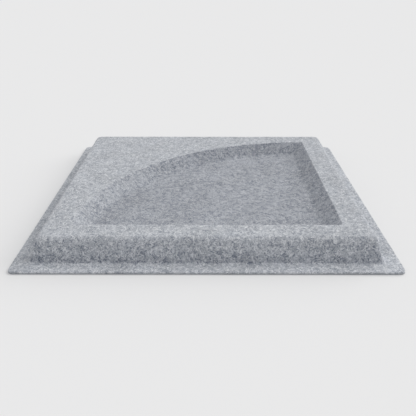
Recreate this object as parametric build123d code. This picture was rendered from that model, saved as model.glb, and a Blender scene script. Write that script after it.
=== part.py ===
"""Square moulded felt desk panel with a raised block and a quarter-round recess.

Millimetres, +Z up. The origin is the centre of the flat underside, and the recess's
square corner is at +X, -Y. The face is one sheet of pressed felt, formed over a mould.
The flat rim round its raised block is bonded to a flat back sheet, and two layers of
fibre board, cut to fit, fill the space between them. Grip pads lie in the back sheet.
"""
from build123d import *
from math import atan2, cos, radians, sin, sqrt, tan
import os

# Overall sizes.
panel_side = 600.0
panel_height = 43.5
panel_corner_radius = 9.0

# Sheets.
face_thickness = 2.5
back_thickness = 1.5

# Raised block. The rim is as wide as from the panel's edge to the foot of the block's wall.
rim_width = 26.0
wall_draft = radians(15.7)
block_corner_radius = 8.0
block_edge_radius = 9.5
block_foot_radius = 5.0

# Quarter-round recess. A margin runs from the block's top edge to the recess's edge: the
# straight margin beside its two straight edges, the arc margin where its arc ends.
recess_straight_margin = 44.0
recess_arc_margin = 47.0
recess_depth = 20.5
recess_wall_run = 25.5
recess_corner_radius = 8.0
recess_foot_radius = 10.5
recess_edge_radius = 1.5

# Filling.
core_clearance = 0.8
core_corner_radius = 6.0

# Grip pads, let into the back sheet and as thick as it is.
pad_diameter = 32.0
pad_inset = 70.0
pad_clearance = 0.3

# Levels.
rim_underside = back_thickness
rim_top = rim_underside + face_thickness
recess_floor = panel_height - recess_depth
cavity_top = panel_height - face_thickness
cavity_floor_top = recess_floor - face_thickness

# Where the walls are, and how steep the recess's walls and the lines between them are.
foot_half = panel_side / 2 - rim_width
top_half = foot_half - (panel_height - rim_top) * tan(wall_draft)
recess_reach = top_half - recess_straight_margin
recess_radius = 2 * top_half - recess_straight_margin - recess_arc_margin
recess_slope = atan2(recess_depth, recess_wall_run)
recess_corner_slope = atan2(recess_depth, recess_wall_run * sqrt(2))

# The felt's thickness measured level, through each kind of wall.
block_wall_level = face_thickness / cos(wall_draft)
recess_wall_level = face_thickness / sin(recess_slope)

# How far cutting shapes run past what they cut, and how near a level an edge counts as on it.
overrun = 6.0
level_tolerance = 0.001


def rounded_square(half, radius, level):
    """A square of twice the half width, with rounded corners, at a level."""
    return Pos(0, 0, level) * RectangleRounded(2 * half, 2 * half, radius)


def wall_half(level):
    """Half the width of the raised block's outside at a level."""
    return foot_half - (level - rim_top) * tan(wall_draft)


def fitting_radius(radius, corner_radius, turn):
    """The radius of an edge's rounding, kept small enough to pass round its corners."""
    return min(radius, 0.95 * corner_radius / tan(turn / 2))


def edges_at(solid, level, reach):
    """The edges of a solid that lie flat at a level, within a reach of the middle."""
    found = []
    for edge in solid.edges():
        box = edge.bounding_box()
        flat = max(abs(box.min.Z - level), abs(box.max.Z - level)) < level_tolerance
        within = max(-box.min.X, -box.min.Y, box.max.X, box.max.Y) < reach
        if flat and within:
            found.append(edge)
    return found


def loft_between(lower, upper):
    """The straight-sided solid between two flat shapes at their levels."""
    return Solid.make_loft([lower.face().outer_wire(), upper.face().outer_wire()], ruled=True)


def block(inset, low, high, corner_radius, edge_radius):
    """The raised block between two levels, each side drawn in by the inset."""
    lower = rounded_square(wall_half(low) - inset, corner_radius, low)
    upper = rounded_square(wall_half(high) - inset, corner_radius, high)
    solid = loft_between(lower, upper)
    rounding = fitting_radius(edge_radius, corner_radius, radians(90) - wall_draft)
    return solid.fillet(rounding, edges_at(solid, high, panel_side))


def recess_space(low, outset, corner_radius=0.0, foot_radius=0.0):
    """The recess from a level up past the block's top, each wall moved out by the outset."""
    high = panel_height + overrun
    corner = Vector(recess_reach, -recess_reach)
    far = recess_radius + recess_reach

    def inward(level):
        return (panel_height - level) / tan(recess_slope) - outset

    def square(level):
        near = corner + Vector(-inward(level), inward(level))
        return Pos(near.X, near.Y, level) * Rectangle(far, far, align=(Align.MAX, Align.MIN))

    cone = Cone(recess_radius - inward(low), recess_radius - inward(high), high - low)
    round_wall = Pos(corner.X, corner.Y, (low + high) / 2) * cone
    space = round_wall.solid().intersect(loft_between(square(low), square(high))).solid()
    if corner_radius:
        rising = [e for e in space.edges() if e.bounding_box().size.Z > (high - low) / 2]
        space = space.fillet(corner_radius, rising)
    if foot_radius:
        plan_radius = corner_radius * sin(recess_corner_slope)
        rounding = fitting_radius(foot_radius, plan_radius, recess_slope)
        space = space.fillet(rounding, space.faces().sort_by(Axis.Z)[0].edges())
    return space


def make_face_shell():
    """The moulded felt face: a flat rim, the raised block and the recess, one sheet thick."""
    rim = extrude(rounded_square(panel_side / 2, panel_corner_radius, rim_underside), face_thickness)
    raised = block(0, rim_underside, panel_height, block_corner_radius, block_edge_radius)
    outside = rim.solid().fuse(raised).solid()
    outside = outside.fillet(block_foot_radius, edges_at(outside, rim_top, foot_half + 1))
    dip = recess_space(recess_floor, 0, recess_corner_radius, recess_foot_radius)
    outside = outside.cut(dip).solid()
    outside = outside.fillet(recess_edge_radius, edges_at(outside, panel_height, recess_reach + 1))

    inside = block(
        block_wall_level,
        rim_underside,
        cavity_top,
        block_corner_radius - face_thickness,
        block_edge_radius - face_thickness,
    )
    bowl = recess_space(
        cavity_floor_top,
        recess_wall_level,
        recess_corner_radius + face_thickness,
        recess_foot_radius + face_thickness,
    )
    shell = outside.cut(inside.cut(bowl)).solid()
    return shell.fillet(block_foot_radius + face_thickness, edges_at(shell, rim_underside, foot_half + 1))


def make_core_slab():
    """The lower layer of fibre board: a flat square under the recess's floor."""
    half = wall_half(cavity_floor_top) - block_wall_level - core_clearance
    outline = rounded_square(half, core_corner_radius, rim_underside)
    return extrude(outline, cavity_floor_top - rim_underside)


def make_core_frame():
    """The upper layer of fibre board: cut out for the recess, with its walls' slope."""
    half = wall_half(cavity_top) - block_wall_level - core_clearance
    outline = rounded_square(half, core_corner_radius, cavity_floor_top)
    layer = extrude(outline, cavity_top - cavity_floor_top).solid()
    rounding = fitting_radius(block_edge_radius - face_thickness, core_corner_radius, radians(90))
    layer = layer.fillet(rounding, edges_at(layer, cavity_top, panel_side))
    return layer.cut(recess_space(cavity_floor_top - overrun, recess_wall_level + core_clearance))


def pad_places():
    """Each grip pad's name and the place of its centre."""
    reach = panel_side / 2 - pad_inset
    for row, y in (("front", -reach), ("rear", reach)):
        for side, x in (("left", -reach), ("right", reach)):
            yield f"grip_pad_{row}_{side}", x, y


def make_back_sheet():
    """The flat back, as wide as the face's rim, with a round hole for each grip pad."""
    sheet = extrude(rounded_square(panel_side / 2, panel_corner_radius, 0), back_thickness)
    hole = Cylinder(pad_diameter / 2 + pad_clearance, back_thickness + 2 * overrun)
    for _, x, y in pad_places():
        sheet -= Pos(x, y, back_thickness / 2) * hole
    return sheet


def make_grip_pad(x, y):
    """A round rubber pad that fills its hole in the back sheet."""
    return Pos(x, y, back_thickness / 2) * Cylinder(pad_diameter / 2, back_thickness)


def main():
    os.makedirs("parts", exist_ok=True)
    pieces = {
        "face_shell": make_face_shell(),
        "core_frame": make_core_frame(),
        "core_slab": make_core_slab(),
        "back_sheet": make_back_sheet(),
    }
    for name, x, y in pad_places():
        pieces[name] = make_grip_pad(x, y)
    for name, shape in pieces.items():
        export_step(shape, f"parts/{name}.step")


main()
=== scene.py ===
"""A square desk mat: a moulded felt face with a raised block and a quarter-round recess,
bonded to a flat felt back, with two layers of fibre board inside and four grip pads below.
"""

from math import asin, atan2, cos, pi, radians, sin, sqrt, tan

import bmesh
import bpy
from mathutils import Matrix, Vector


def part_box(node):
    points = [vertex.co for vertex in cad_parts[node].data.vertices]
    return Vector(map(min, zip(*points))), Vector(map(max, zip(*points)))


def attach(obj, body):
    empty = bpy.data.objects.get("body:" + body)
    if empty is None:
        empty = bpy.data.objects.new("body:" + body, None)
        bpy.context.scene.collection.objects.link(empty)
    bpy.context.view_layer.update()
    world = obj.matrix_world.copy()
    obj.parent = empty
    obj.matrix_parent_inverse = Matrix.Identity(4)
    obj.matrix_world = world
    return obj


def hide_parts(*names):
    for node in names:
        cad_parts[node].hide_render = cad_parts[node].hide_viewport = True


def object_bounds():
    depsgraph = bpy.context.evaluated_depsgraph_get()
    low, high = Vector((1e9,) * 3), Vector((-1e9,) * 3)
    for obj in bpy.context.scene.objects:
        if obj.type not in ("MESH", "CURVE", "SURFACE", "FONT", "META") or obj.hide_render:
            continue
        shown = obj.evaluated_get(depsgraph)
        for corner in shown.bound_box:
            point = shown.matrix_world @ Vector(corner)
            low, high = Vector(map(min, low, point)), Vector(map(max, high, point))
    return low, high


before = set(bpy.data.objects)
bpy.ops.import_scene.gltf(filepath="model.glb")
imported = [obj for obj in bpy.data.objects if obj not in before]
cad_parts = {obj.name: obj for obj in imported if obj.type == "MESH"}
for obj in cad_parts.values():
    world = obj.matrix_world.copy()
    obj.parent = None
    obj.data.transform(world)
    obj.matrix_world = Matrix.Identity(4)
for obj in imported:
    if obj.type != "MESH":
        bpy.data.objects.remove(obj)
cad_low, cad_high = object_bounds()

# ---------------------------------------------------------------- places and sizes, in metres

FACE_LOW, FACE_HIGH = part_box("face_shell")
BACK_LOW, BACK_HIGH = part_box("back_sheet")
SLAB_LOW, SLAB_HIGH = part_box("core_slab")
FRAME_LOW, FRAME_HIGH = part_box("core_frame")
PADS = sorted(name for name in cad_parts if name.startswith("grip_pad_"))

# The felt sheet's thickness, its flat rim, and the raised block.
FELT = 0.0025
PANEL_HALF = FACE_HIGH.x
PANEL_CORNER = 0.009
RIM_WIDTH = 0.026
RIM_TOP = FACE_LOW.z + FELT
BLOCK_TOP = FACE_HIGH.z
BLOCK_CORNER = 0.008
BLOCK_FOOT_CORNER = BLOCK_CORNER + 0.001
WALL_DRAFT = radians(15.7)
FOOT_HALF = PANEL_HALF - RIM_WIDTH
TOP_HALF = FOOT_HALF - (BLOCK_TOP - RIM_TOP) * tan(WALL_DRAFT)

# The quarter-round recess. SIDE_MARGIN is the width of block top beside its straight sides,
# and BOTH_MARGINS is that and the width past the end of its arc, together. RECESS_RUN is how
# far its walls lean inwards on their way down.
SIDE_MARGIN = 0.044
BOTH_MARGINS = 0.091
RECESS_FLOOR = SLAB_HIGH.z + FELT
RECESS_REACH = TOP_HALF - SIDE_MARGIN
RECESS_RADIUS = 2 * TOP_HALF - BOTH_MARGINS
RECESS_RUN = 0.0255
RECESS_SLOPE = atan2(BLOCK_TOP - RECESS_FLOOR, RECESS_RUN)
RECESS_EDGE_CORNER = 0.0045
RECESS_FOOT_CORNER = 0.0085

# Roundings of the felt's bends, on the outside of the sheet, and of its cut edges.
BLOCK_EDGE_RADIUS = 0.0095
BLOCK_FOOT_RADIUS = 0.005
RECESS_EDGE_RADIUS = 0.0017
RECESS_FOOT_RADIUS = 0.015
CUT_EDGE_BEVEL = 0.0004

# The felt's unevenness: the size of its waves, and how far they rise and fall together.
UNEVENNESS = (("swell", 0.07, 0.0006), ("dimple", 0.022, 0.00022))

# The fibre boards, and the play between the upper one and the felt of the recess.
BOARD_CORNER = 0.006
BOARD_RECESS_CORNER = 0.004
BOARD_BEVEL = 0.0006
BOARD_SHOULDER = 0.0045
BOARD_TAPER = 0.0004
BOARD_PLAY = 0.0008

# The grip pads: the gap round them, their rim's bevel, and one ring in their underside as
# steps inwards and upwards, which lies between two lands.
PAD_GAP = 0.0003
PAD_BEVEL = 0.00035
PAD_LAND = 0.003
PAD_RING = ((PAD_LAND, 0.0), (0.0003, 0.0003), (0.0011, 0.0), (0.0003, -0.0003))

# Spans along a straight side, round a corner, and from the recess floor's edge to its middle.
# All the face's outlines have the same number of points, so that they bridge evenly.
SIDE_SPANS = 28
CORNER_SPANS = 4
FLOOR_RINGS = 12

# Sides of the round pads and of their holes.
ROUND_SIDES = 96

# How far apart in height two outlines are held while they are bridged, how near a point is
# picked, how near a face's level is, and the turn, in radians, past which an edge is a cut one.
BRIDGE_GAP = 0.1
PICK = 0.0005
LEVEL_PICK = 0.0003
CUT_TURN = 1.2

# The floor lies just under the mat, and runs in under its edge.
FLOOR_SIZE = 60
FLOOR_GAP = 0.0002
FLOOR_LAP = 0.0035

# ---------------------------------------------------------------- finishes and light levels

FACE_GROUND = (0.458, 0.475, 0.503)
FACE_DARK = (0.135, 0.16, 0.205)
FACE_LIGHT = (0.765, 0.772, 0.782)
# Colour multipliers for painted shade in the face felt's hollows and on its walls, and for painted
# light on its rim.
HOLLOW_SHADE_TINT = (0.77, 0.775, 0.795)
WALL_SHADE_TINT = (0.81, 0.82, 0.845)
RIM_LIGHT_TINT = (1.11, 1.11, 1.11)
BACK_GROUND = (0.35, 0.368, 0.392)
BACK_DARK = (0.19, 0.205, 0.23)
BACK_LIGHT = (0.5, 0.51, 0.525)
BOARD_GROUND = (0.61, 0.605, 0.585)
BOARD_DARK = (0.42, 0.42, 0.41)
BOARD_LIGHT = (0.72, 0.715, 0.70)
RUBBER = (0.045, 0.046, 0.05)
RUBBER_DUST = (0.11, 0.11, 0.11)
PLAIN = (1.0, 1.0, 1.0)

# How much painted shade the felt gets in its hollows and on its walls, and how much it is
#  stretched there, from 0 to 1. The recess's wall gets less painted shade where it faces right,
#  towards the lamp, which is at the left end of its arc.
RECESS_STRETCH_AND_SHADE = 0.26
LIT_SIDE_WALL_SHADE_EASING = 0.2
LIT_SIDE_HOLLOW_SHADE_EASING = 0.42
WALL_STRETCH_AND_SHADE = 0.42
WALL_SHADE_LOW_DOWN = 0.4
CREASE_SHADE = 0.4

FELT_SHEEN = 0.12
FLOOR_COLOUR = (0.825, 0.82, 0.812)
BACKGROUND = (0.82, 0.82, 0.815)
ROOM_LIGHT = (0.985, 0.995, 1.02)
ROOM_STRENGTH = 0.7
LAMP_COLOUR = (1.0, 0.995, 0.985)
LAMP_TOWARDS = (1.2, 0.8, 1.0)
LAMP_STRENGTH = 1.64
LAMP_ANGLE = radians(60)
LAMP_DISTANCE = 3

CAMERA_PLACE = (0.00427, -1.0125, 0.433)
CAMERA_TILT = radians(65.588)
CAMERA_TURN = radians(0.143)
CAMERA_LENS = 47.76


# ---------------------------------------------------------------- modelling tools


def deselect_everything():
    """Leaves edit mode with nothing selected."""
    if bpy.context.mode != "OBJECT":
        bpy.ops.object.mode_set(mode="OBJECT")
    bpy.ops.object.select_all(action="DESELECT")


def take(piece):
    """Selects one piece alone, and makes it the active one."""
    deselect_everything()
    piece.select_set(True)
    bpy.context.view_layer.objects.active = piece


def edit(piece, mode="VERT"):
    """Opens one piece in edit mode, with nothing selected in it."""
    take(piece)
    bpy.ops.object.mode_set(mode="EDIT")
    bpy.ops.mesh.select_mode(type=mode)
    bpy.ops.mesh.select_all(action="DESELECT")


def leave_edit():
    """Back to object mode."""
    bpy.ops.object.mode_set(mode="OBJECT")


def settle(piece):
    """Puts a piece's place, turn and size into its mesh."""
    take(piece)
    bpy.ops.object.transform_apply(location=True, rotation=True, scale=True)


def select_where(piece, mode, wanted):
    """Selects the points, edges or faces that pass a test, in edit mode."""
    bpy.ops.mesh.select_mode(type=mode)
    bpy.ops.mesh.select_all(action="DESELECT")
    mesh = bmesh.from_edit_mesh(piece.data)
    if mode == "FACE":
        mesh.normal_update()
    for part in {"VERT": mesh.verts, "EDGE": mesh.edges, "FACE": mesh.faces}[mode]:
        if wanted(part):
            part.select_set(True)
    mesh.select_flush_mode()
    bmesh.update_edit_mesh(piece.data)


def near(value, level, tolerance):
    """Whether a value is at a level."""
    return abs(value - level) < tolerance


def apply_modifier(piece, kind, name, **settings):
    """Adds a modifier with its settings, and applies it."""
    take(piece)
    modifier = piece.modifiers.new(name, kind)
    for key, value in settings.items():
        setattr(modifier, key, value)
    bpy.ops.object.modifier_apply(modifier=modifier.name)


def face_outwards(piece):
    """Merges doubles and turns every face outwards."""
    edit(piece)
    bpy.ops.mesh.select_all(action="SELECT")
    bpy.ops.mesh.remove_doubles(threshold=0.00001)
    bpy.ops.mesh.normals_make_consistent(inside=False)
    leave_edit()


def face_upwards(sheet):
    """Turns an open sheet's faces the same way, up."""
    face_outwards(sheet)
    if sum(face.normal.z for face in sheet.data.polygons) < 0:
        edit(sheet)
        bpy.ops.mesh.select_all(action="SELECT")
        bpy.ops.mesh.flip_normals()
        leave_edit()


def smooth(piece, angle=35):
    """Smooth shading, with edges sharper than an angle kept crisp."""
    take(piece)
    bpy.ops.object.shade_smooth_by_angle(angle=radians(angle))


def rounding(radius, turn):
    """How far a rounding of a radius reaches from its edge, for a bend's turn."""
    return radius * tan(turn / 2)


# ---------------------------------------------------------------- outlines and plates


def keep_as_outline(outline, name, shortest):
    """Drops an outline's face, cuts its straight sides, and names its loop of points."""
    bpy.ops.mesh.select_all(action="SELECT")
    bpy.ops.mesh.delete(type="ONLY_FACE")
    select_where(outline, "EDGE", lambda edge: edge.calc_length() > shortest)
    bpy.ops.mesh.subdivide(number_cuts=SIDE_SPANS - 1)
    leave_edit()
    outline.name = name
    group = outline.vertex_groups.new(name=name)
    group.add(range(len(outline.data.vertices)), 1.0, "REPLACE")
    return outline


def square_outline(name, half, corner, level):
    """A square with rounded corners."""
    deselect_everything()
    bpy.ops.mesh.primitive_plane_add(size=2 * half, location=(0, 0, level))
    outline = bpy.context.object
    settle(outline)
    edit(outline)
    bpy.ops.mesh.select_all(action="SELECT")
    bpy.ops.mesh.bevel(affect="VERTICES", offset=corner, segments=CORNER_SPANS, profile=0.5)
    return keep_as_outline(outline, name, half)


def quarter_outline(name, inward, corner, level):
    """A quarter-round with two straight sides, drawn in from the recess's edge."""
    centre = Vector((RECESS_REACH, -RECESS_REACH, level))
    radius = RECESS_RADIUS - inward
    lift = asin(inward / radius)
    start = centre + Vector((-radius * cos(lift), inward, 0))
    square_corner = centre + Vector((-inward, inward, 0))
    arc_end = centre + Vector((-inward, radius * cos(lift), 0))

    deselect_everything()
    bpy.ops.mesh.primitive_plane_add(size=0.01, location=start)
    outline = bpy.context.object
    settle(outline)
    edit(outline)
    bpy.ops.mesh.select_all(action="SELECT")
    bpy.ops.mesh.merge(type="CENTER")
    bpy.ops.mesh.spin(
        steps=2 * SIDE_SPANS + CORNER_SPANS,
        angle=pi / 2 - 2 * lift,
        center=centre,
        axis=(0, 0, 1),
    )
    select_where(outline, "VERT", lambda point: (point.co - arc_end).length < PICK)
    for side in (square_corner - arc_end, start - square_corner):
        bpy.ops.mesh.extrude_vertices_move(TRANSFORM_OT_translate={"value": side})
    bpy.ops.mesh.select_all(action="SELECT")
    bpy.ops.mesh.remove_doubles(threshold=0.0002)
    bpy.ops.mesh.select_all(action="SELECT")
    bpy.ops.mesh.edge_face_add()
    ends = (start, square_corner, arc_end)
    select_where(
        outline, "VERT", lambda point: min((point.co - end).length for end in ends) < PICK
    )
    bpy.ops.mesh.bevel(affect="VERTICES", offset=corner, segments=CORNER_SPANS, profile=0.5)
    return keep_as_outline(outline, name, radius / 2)


def select_loops(piece, *names):
    """Selects outlines by name, in edit mode."""
    wanted = {piece.vertex_groups[name].index for name in names}
    layer = bmesh.from_edit_mesh(piece.data).verts.layers.deform.verify()
    select_where(
        piece, "VERT", lambda point: any(index in wanted for index in point[layer].keys())
    )
    bpy.ops.mesh.select_mode(type="EDGE")


def bridge(piece, inner, outer):
    """Bridges two outlines, held apart in height meanwhile, so that the bridge runs straight
    across even where both lie at one level.
    """
    select_loops(piece, inner)
    bpy.ops.transform.translate(value=(0, 0, -BRIDGE_GAP))
    select_loops(piece, inner, outer)
    bpy.ops.mesh.bridge_edge_loops()
    select_loops(piece, inner)
    bpy.ops.transform.translate(value=(0, 0, BRIDGE_GAP))


def join_outlines(name, outlines):
    """Joins outlines into one piece, and bridges each to the next."""
    deselect_everything()
    for outline in outlines:
        outline.select_set(True)
    piece = outlines[0]
    names = [outline.name for outline in outlines]
    bpy.context.view_layer.objects.active = piece
    bpy.ops.object.join()
    piece.name = name
    piece.data.name = name
    edit(piece)
    for inner, outer in zip(names, names[1:]):
        bridge(piece, inner, outer)
    leave_edit()
    return piece


def make_plate(name, low, high, corner, segments):
    """A flat square plate with rounded corners, from its box's lowest and highest corners."""
    deselect_everything()
    bpy.ops.mesh.primitive_plane_add(size=2 * high.x, location=(0, 0, low.z))
    plate = bpy.context.object
    plate.name = name
    settle(plate)
    edit(plate)
    bpy.ops.mesh.select_all(action="SELECT")
    bpy.ops.mesh.bevel(affect="VERTICES", offset=corner, segments=segments, profile=0.5)
    bpy.ops.mesh.select_all(action="SELECT")
    bpy.ops.mesh.extrude_region_move(TRANSFORM_OT_translate={"value": (0, 0, high.z - low.z)})
    leave_edit()
    face_outwards(plate)
    return plate


# ---------------------------------------------------------------- the felt face


def fill_floor(piece, name, rings):
    """Closes the recess's floor with rings that shrink to its middle."""
    middle = Vector((RECESS_REACH, -RECESS_REACH, 0))
    reach = (RECESS_RADIUS - RECESS_RUN) / (1 + sqrt(2)) + RECESS_RUN
    middle += Vector((-reach, reach, RECESS_FLOOR))
    outline_points = len(piece.data.vertices)
    edit(piece)
    select_loops(piece, name)
    for ring in range(rings - 1):
        share = (rings - ring - 1) / (rings - ring)
        bpy.ops.mesh.extrude_edges_move()
        bpy.ops.transform.resize(value=(share, share, 1), center_override=middle)
    bpy.ops.mesh.extrude_edges_move()
    bpy.ops.mesh.merge(type="CENTER")
    leave_edit()
    inside = range(outline_points, len(piece.data.vertices))
    piece.vertex_groups[name].remove(inside)


def select_loop_side(piece, name, under):
    """Selects the loop of edges of one outline, on the sheet's outside or its underside."""
    loop = piece.vertex_groups[name].index
    underside = piece.vertex_groups["underside"].index
    layer = bmesh.from_edit_mesh(piece.data).verts.layers.deform.verify()

    def belongs(point):
        weights = point[layer]
        below = weights.get(underside, 0) > 0.5
        return weights.get(loop, 0) > 0.5 and below == under

    select_where(piece, "EDGE", lambda edge: all(belongs(point) for point in edge.verts))


def round_face_bends(felt):
    """Rounds each bend of the felt face, outside and underside, by its radius there."""
    block_turn = pi / 2 - WALL_DRAFT
    # Each bend's outline, its radius outside and on the underside, its turn and its spans.
    bends = (
        ("recess_foot", RECESS_FOOT_RADIUS, RECESS_FOOT_RADIUS + FELT, RECESS_SLOPE, 6),
        ("recess_edge", RECESS_EDGE_RADIUS, 0.0, RECESS_SLOPE, 3),
        ("block_edge", BLOCK_EDGE_RADIUS, BLOCK_EDGE_RADIUS - FELT, block_turn, 8),
        ("block_foot", BLOCK_FOOT_RADIUS, BLOCK_FOOT_RADIUS + FELT, block_turn, 5),
    )
    edit(felt)
    for name, outer, inner, turn, segments in bends:
        for under, radius in ((False, outer), (True, inner)):
            if radius:
                select_loop_side(felt, name, under)
                bpy.ops.mesh.bevel(
                    affect="EDGES",
                    offset_type="OFFSET",
                    offset=rounding(radius, turn),
                    segments=segments,
                    profile=0.5,
                    clamp_overlap=True,
                )
    for under in (False, True):
        select_loop_side(felt, "rim_edge", under)
        bpy.ops.mesh.bevel(affect="EDGES", offset=CUT_EDGE_BEVEL, segments=2, profile=0.5)
    leave_edit()


def cut_face_spans(felt):
    """Cuts the wide spans between the bends, so that the felt can be uneven there."""
    # The upward part of a span's normal, from and to, its level if it is flat, and its cuts.
    spans = (
        (0.999, 1.1, BLOCK_TOP, 12),
        (0.772, 0.786, None, 2),
        (0.25, 0.31, None, 3),
        (0.999, 1.1, RIM_TOP, 2),
    )
    for least, most, level, cuts in spans:
        for side, depth in ((1, 0), (-1, FELT)):

            def in_span(face):
                at_level = level is None or near(
                    face.calc_center_median().z, level - depth, LEVEL_PICK
                )
                return at_level and least < side * face.normal.z < most

            edit(felt, "FACE")
            select_where(felt, "FACE", in_span)
            chosen = {
                edge.index
                for edge in bmesh.from_edit_mesh(felt.data).edges
                if len(edge.link_faces) == 2 and all(face.select for face in edge.link_faces)
            }
            if chosen:
                select_where(felt, "EDGE", lambda edge: edge.index in chosen)
                bpy.ops.mesh.subdivide_edgering(number_cuts=cuts, interpolation="LINEAR")
            leave_edit()


def share_between(value, low, high):
    """How far a value has come from low to high, from 0 to 1, eased at both ends."""
    part = min(1.0, max(0.0, (value - low) / (high - low)))
    return part * part * (3 - 2 * part)


def loosen_face(felt):
    """Makes the felt's upper side slightly uneven, as pressed felt is, and leaves its rim flat."""
    loose = felt.vertex_groups.new(name="loose")
    for point in felt.data.vertices:
        above = share_between(point.co.z, RIM_TOP + 0.0005, RIM_TOP + 0.006)
        loose.add([point.index], above, "REPLACE")
    for name, size, strength in UNEVENNESS:
        unevenness = bpy.data.textures.new("felt " + name, "CLOUDS")
        unevenness.noise_scale = size
        unevenness.noise_depth = 1
        apply_modifier(
            felt,
            "DISPLACE",
            "felt " + name,
            texture=unevenness,
            texture_coords="LOCAL",
            vertex_group="loose",
            strength=strength,
            mid_level=0.5,
        )


def crease_at(height):
    """How deep in the crease at the block's foot a height is, from 0 to 1."""
    rise = share_between(height, RIM_TOP + 0.0002, RIM_TOP + 0.0015)
    return rise * (1 - share_between(height, RIM_TOP + 0.003, RIM_TOP + 0.01))


def mark_painted_shading_and_wear(felt):
    """Marks, each from 0 to 1, the painted shade in the recess and in the crease at the block's
    foot, the painted shade on the walls where the felt is stretched thin, where hands rub it,
    and the painted light on its rim.
    """
    names = ("hollow_shade", "stretch_and_shade", "rubbed", "rim_light")
    for name in names:
        felt.data.attributes.new(name, "FLOAT", "POINT")
    hollow_shade, stretch_and_shade, rubbed, rim_light = (felt.data.attributes[name] for name in names)
    for point in felt.data.vertices:
        at = point.co
        half = max(abs(at.x), abs(at.y))
        steep = 1 - share_between(abs(point.normal.z), 0.88, 0.999)
        # The recess, from its floor to its edge, and then the walls and rim outside it.
        if half < TOP_HALF - 0.02 and at.z > RECESS_FLOOR - 0.001:
            # Painted light: where the recess's wall faces right, towards the lamp, its painted
            # shade is eased.
            lit_side = steep * share_between(point.normal.x, 0.25, 0.62)
            deep = 1 - share_between(at.z, BLOCK_TOP - 0.0004, BLOCK_TOP - 0.00008)
            painted_shading = deep * (1 - LIT_SIDE_HOLLOW_SHADE_EASING * lit_side)
            thin = RECESS_STRETCH_AND_SHADE - LIT_SIDE_WALL_SHADE_EASING * lit_side
        else:
            # Painted shade on the block's outer walls, deeper towards their foot, and in the crease
            # at the foot.
            low_down = 1 - share_between(at.z, RIM_TOP + 0.004, BLOCK_TOP - 0.012)
            painted_shading = CREASE_SHADE * crease_at(at.z)
            thin = WALL_STRETCH_AND_SHADE + WALL_SHADE_LOW_DOWN * low_down
        hollow_shade.data[point.index].value = painted_shading
        stretch_and_shade.data[point.index].value = thin * steep if at.z > RIM_TOP + 0.001 else 0.0

        # The rim gets painted light, except on its left side, which isn't marked and keeps the
        # felt's own tone.
        on_rim = 1 - share_between(at.z, RIM_TOP + 0.001, RIM_TOP + 0.006)
        shaded_side = share_between(-at.x, FOOT_HALF - 0.004, FOOT_HALF + 0.002)
        rim_light.data[point.index].value = on_rim * (1 - crease_at(at.z)) * (1 - shaded_side)

        bend = share_between(half, TOP_HALF - 0.012, TOP_HALF - 0.003)
        bend *= share_between(at.z, BLOCK_TOP - 0.007, BLOCK_TOP - 0.001)
        rubbed.data[point.index].value = bend


def make_face_felt():
    """The moulded sheet: recess, block and rim in one, of the felt's thickness."""
    outlines = [
        quarter_outline("recess_foot", RECESS_RUN, RECESS_FOOT_CORNER, RECESS_FLOOR),
        quarter_outline("recess_edge", 0, RECESS_EDGE_CORNER, BLOCK_TOP),
        square_outline("block_edge", TOP_HALF, BLOCK_CORNER, BLOCK_TOP),
        square_outline("block_foot", FOOT_HALF, BLOCK_FOOT_CORNER, RIM_TOP),
        square_outline("rim_edge", PANEL_HALF, PANEL_CORNER, RIM_TOP),
    ]
    felt = join_outlines("face_felt", outlines)
    fill_floor(felt, "recess_foot", FLOOR_RINGS)
    face_upwards(felt)
    felt.vertex_groups.new(name="underside")
    apply_modifier(
        felt,
        "SOLIDIFY",
        "felt thickness",
        thickness=FELT,
        offset=-1,
        use_even_offset=True,
        use_quality_normals=True,
        shell_vertex_group="underside",
    )
    round_face_bends(felt)
    cut_face_spans(felt)
    apply_modifier(felt, "SUBSURF", "softer bends", levels=1, render_levels=1)
    mark_painted_shading_and_wear(felt)
    loosen_face(felt)
    smooth(felt, 50)
    apply_modifier(felt, "WEIGHTED_NORMAL", "crisp flats", weight=50, keep_sharp=True)
    return felt


# ---------------------------------------------------------------- the felt back


def make_back_felt():
    """The flat back, with a hole for each grip pad."""
    back = make_plate("back_felt", BACK_LOW, BACK_HIGH, PANEL_CORNER, 8)
    for pad in PADS:
        low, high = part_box(pad)
        middle = (low + high) / 2
        deselect_everything()
        bpy.ops.mesh.primitive_cylinder_add(
            vertices=ROUND_SIDES,
            radius=(high.x - low.x) / 2 + PAD_GAP,
            depth=4 * (BACK_HIGH.z - BACK_LOW.z),
            location=middle,
        )
        cutter = bpy.context.object
        settle(cutter)
        apply_modifier(back, "BOOLEAN", "pad hole", operation="DIFFERENCE", object=cutter)
        bpy.data.objects.remove(cutter)
    edit(back, "EDGE")
    select_where(back, "EDGE", lambda edge: edge.calc_face_angle(0) > CUT_TURN)
    bpy.ops.mesh.bevel(affect="EDGES", offset=CUT_EDGE_BEVEL, segments=2, profile=0.5)
    leave_edit()
    smooth(back, 50)
    return back


# ---------------------------------------------------------------- the fibre boards


def bevel_level(piece, level, width, segments):
    """Bevels the edges of a piece that lie flat at a level."""
    edit(piece, "EDGE")
    select_where(
        piece,
        "EDGE",
        lambda edge: all(near(point.co.z, level, 0.0001) for point in edge.verts)
        and edge.calc_face_angle(0) > 0.3,
    )
    bpy.ops.mesh.bevel(affect="EDGES", offset=width, segments=segments, profile=0.5)
    leave_edit()


def make_core_slab():
    """The lower board: a flat square with cut sides."""
    slab = make_plate("core_board_lower", SLAB_LOW, SLAB_HIGH, BOARD_CORNER, 6)
    for level in (SLAB_HIGH.z, SLAB_LOW.z):
        bevel_level(slab, level, BOARD_BEVEL, 2)
    smooth(slab)
    return slab


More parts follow.
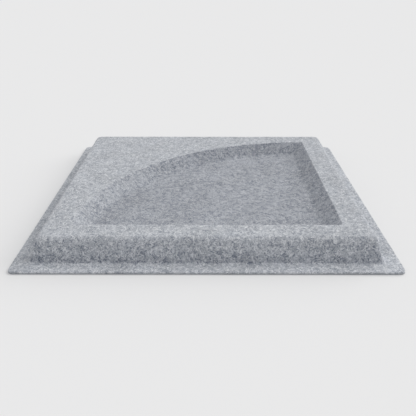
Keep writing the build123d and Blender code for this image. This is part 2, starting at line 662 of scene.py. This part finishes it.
def make_core_frame():
    """The upper board: round the recess, its inner walls sloped as the recess's are."""
    wall = FELT / sin(RECESS_SLOPE) + BOARD_PLAY
    fall = (FRAME_HIGH.z - FRAME_LOW.z) / tan(RECESS_SLOPE)
    top = (BLOCK_TOP - FRAME_HIGH.z) / tan(RECESS_SLOPE) - wall
    half = FRAME_HIGH.x
    outlines = [
        quarter_outline("board_recess_foot", top + fall, BOARD_RECESS_CORNER, FRAME_LOW.z),
        quarter_outline("board_recess_edge", max(top, 0.0), BOARD_RECESS_CORNER, FRAME_HIGH.z),
        square_outline("board_top", half - BOARD_TAPER, BOARD_CORNER, FRAME_HIGH.z),
        square_outline("board_foot", half, BOARD_CORNER, FRAME_LOW.z),
    ]
    board = join_outlines("core_board_upper", outlines)
    edit(board)
    bridge(board, "board_recess_foot", "board_foot")
    leave_edit()
    face_outwards(board)
    edit(board, "EDGE")
    select_loops(board, "board_top")
    bpy.ops.mesh.bevel(affect="EDGES", offset=BOARD_SHOULDER, segments=5, profile=0.5)
    leave_edit()
    smooth(board)
    return board


# ---------------------------------------------------------------- the grip pads


def make_grip_pad(name):
    """A round rubber pad with a rounded rim and two shallow rings in its underside."""
    low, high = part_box(name)
    middle = (low + high) / 2
    radius = (high.x - low.x) / 2
    deselect_everything()
    bpy.ops.mesh.primitive_cylinder_add(
        vertices=ROUND_SIDES,
        radius=radius,
        depth=high.z - low.z,
        location=middle,
        end_fill_type="NGON",
    )
    pad = bpy.context.object
    settle(pad)
    edit(pad, "FACE")
    select_where(pad, "FACE", lambda face: face.normal.z < -0.9)
    for inset, move in PAD_RING * 2:
        bpy.ops.mesh.inset(thickness=inset, depth=0)
        if move:
            bpy.ops.transform.translate(value=(0, 0, move))
    bpy.ops.mesh.inset(thickness=PAD_LAND, depth=0)

    def on_rim(edge):
        reach = min((point.co - middle).xy.length for point in edge.verts)
        return edge.calc_face_angle(0) > CUT_TURN and reach > radius - 0.0001

    select_where(pad, "EDGE", on_rim)
    bpy.ops.mesh.bevel(affect="EDGES", offset=PAD_BEVEL, segments=3, profile=0.5)
    leave_edit()
    smooth(pad, 50)
    return pad


def copy_pad(pad, source, target):
    """A copy of a grip pad, with its own mesh, in another pad's place."""
    copy = pad.copy()
    copy.data = pad.data.copy()
    bpy.context.collection.objects.link(copy)
    copy.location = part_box(target)[0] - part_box(source)[0]
    settle(copy)
    return copy


# ---------------------------------------------------------------- shader parts


def new_group(name, inputs, outputs):
    """A shader node group with named inputs and outputs."""
    group = bpy.data.node_groups.new(name, "ShaderNodeTree")
    for label, kind, value in inputs:
        made = group.interface.new_socket(label, in_out="INPUT", socket_type=kind)
        made.default_value = value
    for label, kind in outputs:
        group.interface.new_socket(label, in_out="OUTPUT", socket_type=kind)
    nodes = group.nodes
    return group, nodes.new("NodeGroupInput"), nodes.new("NodeGroupOutput")


def feed(tree, socket, value):
    """Gives a socket a number, a colour or another node's output."""
    if isinstance(value, (int, float)):
        socket.default_value = value
    elif isinstance(value, tuple):
        socket.default_value = (*value, 1)
    else:
        tree.links.new(value, socket)


def math_node(tree, kind, *values):
    """A Math node fed with sockets or numbers, and its output."""
    node = tree.nodes.new("ShaderNodeMath")
    node.operation = kind
    for socket, value in zip(node.inputs, values):
        feed(tree, socket, value)
    return node.outputs[0]


def noise_node(tree, place, scale, detail=2.0, rough=0.5, twist=0.0, output="Fac"):
    """A Noise Texture at a place, and its output."""
    node = tree.nodes.new("ShaderNodeTexNoise")
    feed(tree, node.inputs["Scale"], scale)
    node.inputs["Detail"].default_value = detail
    node.inputs["Roughness"].default_value = rough
    node.inputs["Distortion"].default_value = twist
    tree.links.new(place, node.inputs["Vector"])
    return node.outputs[output]


def range_node(tree, value, low, high, to_low=0.0, to_high=1.0):
    """A smoothly eased Map Range, and its output."""
    node = tree.nodes.new("ShaderNodeMapRange")
    node.interpolation_type = "SMOOTHSTEP"
    labels = ("From Min", "From Max", "To Min", "To Max")
    for label, number in zip(labels, (low, high, to_low, to_high)):
        node.inputs[label].default_value = number
    tree.links.new(value, node.inputs["Value"])
    return node.outputs["Result"]


def mix_node(tree, share, first, second, blend="MIX"):
    """A colour Mix of sockets or colours, and its output."""
    node = tree.nodes.new("ShaderNodeMix")
    node.data_type = "RGBA"
    node.blend_type = blend
    node.clamp_factor = True
    # A colour Mix has its share at input 0, and its two colours at 6 and 7.
    for index, value in ((0, share), (6, first), (7, second)):
        feed(tree, node.inputs[index], value)
    return node.outputs[2]


def shifted(tree, place, offset):
    """A place moved by a fixed offset, so that one pattern differs from another."""
    node = tree.nodes.new("ShaderNodeVectorMath")
    node.operation = "ADD"
    node.inputs[1].default_value = offset
    tree.links.new(place, node.inputs[0])
    return node.outputs[0]


def build_streaks():
    """Short curved streaks: where a noise passes its middle, broken up by a second noise."""
    group, start, end = new_group(
        "fibre streaks",
        [
            ("Place", "NodeSocketVector", (0, 0, 0)),
            ("Size", "NodeSocketFloat", 200.0),
            ("Width", "NodeSocketFloat", 0.16),
            ("Cover", "NodeSocketFloat", 0.5),
        ],
        [("Mask", "NodeSocketFloat")],
    )
    place = start.outputs["Place"]
    curl = noise_node(group, place, 60.0, 1.0, output="Color")
    bent = group.nodes.new("ShaderNodeVectorMath")
    bent.operation = "MULTIPLY_ADD"
    bent.inputs[1].default_value = (0.012, 0.012, 0.012)
    group.links.new(curl, bent.inputs[0])
    group.links.new(place, bent.inputs[2])
    size = start.outputs["Size"]
    line = noise_node(group, bent.outputs[0], size, 1.5, 0.45, 0.6)
    apart = shifted(group, place, (3.1, 1.7, 5.3))
    gate_size = math_node(group, "MULTIPLY", size, 0.55)
    gate = noise_node(group, apart, gate_size, 1.0, 0.5, 0.3)
    off_middle = math_node(group, "ABSOLUTE", math_node(group, "SUBTRACT", line, 0.5))
    thin = math_node(group, "DIVIDE", off_middle, start.outputs["Width"])
    ridge = range_node(group, thin, 1.0, 0.0)
    limit = math_node(group, "SUBTRACT", 1.0, start.outputs["Cover"])
    over = math_node(group, "SUBTRACT", gate, math_node(group, "MULTIPLY_ADD", limit, 0.4, 0.3))
    broken = range_node(group, over, -0.03, 0.05)
    group.links.new(math_node(group, "MULTIPLY", ridge, broken), end.inputs["Mask"])
    return group


def build_marl(streaks):
    """Felt of mixed fibres: dark and light streaks over a mottled ground, with its height."""
    group, start, end = new_group(
        "marled felt",
        [
            ("Place", "NodeSocketVector", (0, 0, 0)),
            ("Ground", "NodeSocketColor", (0.46, 0.48, 0.51, 1)),
            ("Dark Fibre", "NodeSocketColor", (0.25, 0.27, 0.31, 1)),
            ("Light Fibre", "NodeSocketColor", (0.62, 0.63, 0.64, 1)),
            ("Dark Share", "NodeSocketFloat", 0.5),
            ("Light Share", "NodeSocketFloat", 0.5),
            ("Mottle", "NodeSocketFloat", 0.1),
        ],
        [
            ("Colour", "NodeSocketColor"),
            ("Height", "NodeSocketFloat"),
            ("Fuzz", "NodeSocketFloat"),
        ],
    )
    place = start.outputs["Place"]

    def layer(offset, size, width, cover):
        """One layer of streaks, its pattern moved by an offset."""
        node = group.nodes.new("ShaderNodeGroup")
        node.node_tree = streaks
        group.links.new(shifted(group, place, offset), node.inputs["Place"])
        node.inputs["Size"].default_value = size
        node.inputs["Width"].default_value = width
        node.inputs["Cover"].default_value = cover
        return node.outputs["Mask"]

    coarse = layer((0.0, 0.0, 0.0), 190.0, 0.085, 0.66)
    second = layer((1.3, 4.1, 0.7), 300.0, 0.07, 0.6)
    fine = layer((2.9, 0.3, 6.1), 900.0, 0.07, 0.6)
    light = layer((5.7, 2.3, 3.9), 240.0, 0.085, 0.66)
    light_fine = layer((7.1, 8.3, 1.9), 1100.0, 0.06, 0.6)

    cloud = noise_node(group, place, 22.0, 2.0, 0.55)
    grain = noise_node(group, place, 420.0, 3.0, 0.62)
    mottle = math_node(group, "SUBTRACT", cloud, 0.5)
    speckle = math_node(group, "SUBTRACT", grain, 0.5)
    mottle = math_node(group, "MULTIPLY_ADD", speckle, 1.1, mottle)
    shade = math_node(group, "MULTIPLY_ADD", mottle, start.outputs["Mottle"], 1.0)
    shade_colour = group.nodes.new("ShaderNodeCombineColor")
    for socket in shade_colour.inputs[:3]:
        group.links.new(shade, socket)
    shaded = shade_colour.outputs[0]
    ground = mix_node(group, 1.0, start.outputs["Ground"], shaded, "MULTIPLY")

    darkness = math_node(group, "MAXIMUM", coarse, math_node(group, "MULTIPLY", second, 0.9))
    darkness = math_node(group, "MAXIMUM", darkness, math_node(group, "MULTIPLY", fine, 0.6))
    darkness = math_node(group, "MULTIPLY", darkness, start.outputs["Dark Share"])
    lightness = math_node(group, "MAXIMUM", light, math_node(group, "MULTIPLY", light_fine, 0.7))
    lightness = math_node(group, "MULTIPLY", lightness, start.outputs["Light Share"])
    colour = mix_node(group, darkness, ground, start.outputs["Dark Fibre"])
    colour = mix_node(group, lightness, colour, start.outputs["Light Fibre"])

    height = math_node(group, "MULTIPLY_ADD", light, 0.35, math_node(group, "MULTIPLY", grain, 0.5))
    height = math_node(group, "MULTIPLY_ADD", fine, 0.3, height)
    height = math_node(group, "MULTIPLY_ADD", coarse, -0.25, height)
    height = math_node(group, "MULTIPLY_ADD", light_fine, 0.3, height)
    fuzz = range_node(group, grain, 0.3, 0.7, 0.86, 1.0)
    group.links.new(colour, end.inputs["Colour"])
    group.links.new(height, end.inputs["Height"])
    group.links.new(fuzz, end.inputs["Fuzz"])
    return group


def new_material(name):
    """A material with its Principled shader, and its tree and Object coordinates."""
    material = bpy.data.materials.new(name)
    material.use_nodes = True
    tree = material.node_tree
    shader = tree.nodes["Principled BSDF"]
    place = tree.nodes.new("ShaderNodeTexCoord").outputs["Object"]
    return material, tree, shader, place


def attribute(tree, name):
    """A piece's own attribute, as a number."""
    node = tree.nodes.new("ShaderNodeAttribute")
    node.attribute_type = "GEOMETRY"
    node.attribute_name = name
    return node.outputs["Fac"]


def bump(tree, height, depth, strength, shader):
    """Feeds a height to a shader's Normal."""
    node = tree.nodes.new("ShaderNodeBump")
    node.inputs["Distance"].default_value = depth
    node.inputs["Strength"].default_value = strength
    tree.links.new(height, node.inputs["Height"])
    tree.links.new(node.outputs["Normal"], shader.inputs["Normal"])


def place_marl(tree, marl, place, ground, dark, light, mottle):
    """The felt group in a material, with its own colours."""
    node = tree.nodes.new("ShaderNodeGroup")
    node.node_tree = marl
    tree.links.new(place, node.inputs["Place"])
    node.inputs["Ground"].default_value = (*ground, 1)
    node.inputs["Dark Fibre"].default_value = (*dark, 1)
    node.inputs["Light Fibre"].default_value = (*light, 1)
    node.inputs["Mottle"].default_value = mottle
    return node


def set_felt_gloss(shader, sheen):
    """The dull, softly fuzzy finish of felt."""
    shader.inputs["Specular IOR Level"].default_value = 0.2
    shader.inputs["Sheen Weight"].default_value = sheen
    shader.inputs["Sheen Roughness"].default_value = 0.6


def face_felt_material(marl):
    """Grey marled felt, with painted shade in its hollows and on its walls, where stretching also
    shifts its fibres, painted light on its rim, and lighter where it is rubbed.
    """
    material, tree, shader, place = new_material("marled grey felt")
    node = place_marl(tree, marl, place, FACE_GROUND, FACE_DARK, FACE_LIGHT, 0.8)
    hollow_shade = attribute(tree, "hollow_shade")
    stretch_and_shade = attribute(tree, "stretch_and_shade")
    rubbed = attribute(tree, "rubbed")
    dark = math_node(tree, "MULTIPLY_ADD", stretch_and_shade, 0.3, 0.82)
    dark = math_node(tree, "MULTIPLY_ADD", hollow_shade, 0.1, dark)
    light = math_node(tree, "MULTIPLY_ADD", stretch_and_shade, 0.2, 0.8)
    light = math_node(tree, "MULTIPLY_ADD", rubbed, 0.1, light)
    tree.links.new(dark, node.inputs["Dark Share"])
    tree.links.new(light, node.inputs["Light Share"])
    rim_light = attribute(tree, "rim_light")
    # Painted shade in the recess and the crease at the block's foot.
    painted_shading = mix_node(tree, hollow_shade, PLAIN, HOLLOW_SHADE_TINT)
    # Painted light on the rim, but not on its left side.
    painted_shading = mix_node(tree, rim_light, painted_shading, RIM_LIGHT_TINT)
    colour = mix_node(tree, 1.0, node.outputs["Colour"], painted_shading, "MULTIPLY")
    # Painted shade on the walls, deeper towards the block's foot.
    painted_wall_shade = mix_node(tree, stretch_and_shade, PLAIN, WALL_SHADE_TINT)
    colour = mix_node(tree, 1.0, colour, painted_wall_shade, "MULTIPLY")
    worn = math_node(tree, "MULTIPLY", rubbed, 0.07)
    colour = mix_node(tree, worn, colour, FACE_LIGHT)
    tree.links.new(colour, shader.inputs["Base Color"])
    tree.links.new(node.outputs["Fuzz"], shader.inputs["Roughness"])
    set_felt_gloss(shader, FELT_SHEEN)
    bump(tree, node.outputs["Height"], 0.0009, 0.55, shader)
    return material


def plain_felt_material(marl, name, ground, dark, light, mottle, sheen):
    """A felt or fibre board with no marks of forming."""
    material, tree, shader, place = new_material(name)
    node = place_marl(tree, marl, place, ground, dark, light, mottle)
    node.inputs["Dark Share"].default_value = 0.5
    node.inputs["Light Share"].default_value = 0.35
    tree.links.new(node.outputs["Colour"], shader.inputs["Base Color"])
    tree.links.new(node.outputs["Fuzz"], shader.inputs["Roughness"])
    set_felt_gloss(shader, sheen)
    bump(tree, node.outputs["Height"], 0.0008, 0.5, shader)
    return material


def rubber_material():
    """Dark grey moulded rubber with a fine grain and faint dust."""
    material, tree, shader, place = new_material("grip rubber")
    grain = noise_node(tree, place, 1600.0, 3.0, 0.6)
    dust = range_node(tree, noise_node(tree, place, 90.0, 4.0, 0.6), 0.45, 0.75)
    colour = mix_node(tree, math_node(tree, "MULTIPLY", dust, 0.4), RUBBER, RUBBER_DUST)
    tree.links.new(colour, shader.inputs["Base Color"])
    tree.links.new(range_node(tree, grain, 0.3, 0.7, 0.55, 0.8), shader.inputs["Roughness"])
    bump(tree, grain, 0.0001, 0.5, shader)
    return material


# ---------------------------------------------------------------- the room, lamps and camera


def make_floor():
    """A wide pale floor, seen through from below, and open where the mat covers it."""
    deselect_everything()
    bpy.ops.mesh.primitive_plane_add(size=FLOOR_SIZE, location=(0, 0, cad_low.z - FLOOR_GAP))
    floor = bpy.context.object
    floor.name = "floor"
    settle(floor)
    material, tree, shader, place = new_material("pale floor")
    shader.inputs["Base Color"].default_value = (*FLOOR_COLOUR, 1)
    shader.inputs["Roughness"].default_value = 0.9
    shader.inputs["Specular IOR Level"].default_value = 0.0
    clear = tree.nodes.new("ShaderNodeBsdfTransparent")
    side = tree.nodes.new("ShaderNodeNewGeometry").outputs["Backfacing"]
    split = tree.nodes.new("ShaderNodeSeparateXYZ")
    tree.links.new(place, split.inputs[0])
    across = [math_node(tree, "ABSOLUTE", split.outputs[axis]) for axis in (0, 1)]
    reach = math_node(tree, "MAXIMUM", *across)
    covered = math_node(tree, "LESS_THAN", reach, PANEL_HALF - FLOOR_LAP)
    side = math_node(tree, "MAXIMUM", side, covered)
    either = tree.nodes.new("ShaderNodeMixShader")
    tree.links.new(side, either.inputs[0])
    tree.links.new(shader.outputs[0], either.inputs[1])
    tree.links.new(clear.outputs[0], either.inputs[2])
    tree.links.new(either.outputs[0], tree.nodes["Material Output"].inputs["Surface"])
    floor.data.materials.append(material)


def make_world():
    """Even pale light from all round, and a pale background."""
    world = bpy.data.worlds.new("even room light")
    bpy.context.scene.world = world
    world.use_nodes = True
    tree = world.node_tree
    light = tree.nodes["Background"]
    light.inputs["Color"].default_value = (*ROOM_LIGHT, 1)
    light.inputs["Strength"].default_value = ROOM_STRENGTH
    seen = tree.nodes.new("ShaderNodeBackground")
    seen.inputs["Color"].default_value = (*BACKGROUND, 1)
    rays = tree.nodes.new("ShaderNodeLightPath")
    direct = rays.outputs["Is Camera Ray"]
    for label in ("Is Glossy Ray", "Is Transmission Ray"):
        direct = math_node(tree, "MAXIMUM", direct, rays.outputs[label])
    either = tree.nodes.new("ShaderNodeMixShader")
    tree.links.new(direct, either.inputs[0])
    tree.links.new(light.outputs[0], either.inputs[1])
    tree.links.new(seen.outputs[0], either.inputs[2])
    tree.links.new(either.outputs[0], tree.nodes["World Output"].inputs["Surface"])


def make_lamp():
    """A broad, soft lamp far off, behind the mat and to its right."""
    lamp = bpy.data.lights.new("window lamp", "SUN")
    lamp.energy = LAMP_STRENGTH
    lamp.angle = LAMP_ANGLE
    lamp.color = LAMP_COLOUR
    holder = bpy.data.objects.new("window lamp", lamp)
    bpy.context.collection.objects.link(holder)
    holder.location = Vector(LAMP_TOWARDS).normalized() * LAMP_DISTANCE
    holder.rotation_euler = Vector(LAMP_TOWARDS).to_track_quat("Z", "Y").to_euler()


def make_camera():
    """A camera in front of the mat, a little above it."""
    camera = bpy.data.cameras.new("camera")
    camera.sensor_width = 36
    camera.lens = CAMERA_LENS
    holder = bpy.data.objects.new("camera", camera)
    bpy.context.collection.objects.link(holder)
    holder.location = CAMERA_PLACE
    holder.rotation_euler = (CAMERA_TILT, 0, CAMERA_TURN)
    bpy.context.scene.camera = holder


# ---------------------------------------------------------------- the whole mat


def finish_piece(piece, material, slot, *nodes):
    """Gives a piece its material, and hides the CAD nodes that it stands for."""
    piece.data.materials.clear()
    piece.data.materials.append(material)
    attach(piece, "root")
    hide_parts(*nodes)


def build_object():
    """Makes every piece of the mat, with its finish."""
    marl = build_marl(build_streaks())
    face = make_face_felt()
    back = make_back_felt()
    lower = make_core_slab()
    upper = make_core_frame()
    finish_piece(face, face_felt_material(marl), "face_felt", "face_shell")
    back_finish = plain_felt_material(
        marl, "plain back felt", BACK_GROUND, BACK_DARK, BACK_LIGHT, 0.5, FELT_SHEEN
    )
    board_finish = plain_felt_material(
        marl, "fibre board", BOARD_GROUND, BOARD_DARK, BOARD_LIGHT, 0.3, 0.0
    )
    finish_piece(back, back_finish, "back_felt", "back_sheet")
    finish_piece(lower, board_finish, "core_board", "core_slab")
    finish_piece(upper, board_finish, "core_board", "core_frame")
    rubber = rubber_material()
    first = make_grip_pad(PADS[0])
    copies = [copy_pad(first, PADS[0], name) for name in PADS[1:]]
    for piece, name in zip([first, *copies], PADS):
        piece.name = "rubber_" + name
        finish_piece(piece, rubber, "pad_rubber", name)


make_camera()
build_object()
make_floor()
make_world()
make_lamp()
bpy.context.scene.view_settings.view_transform = "Standard"
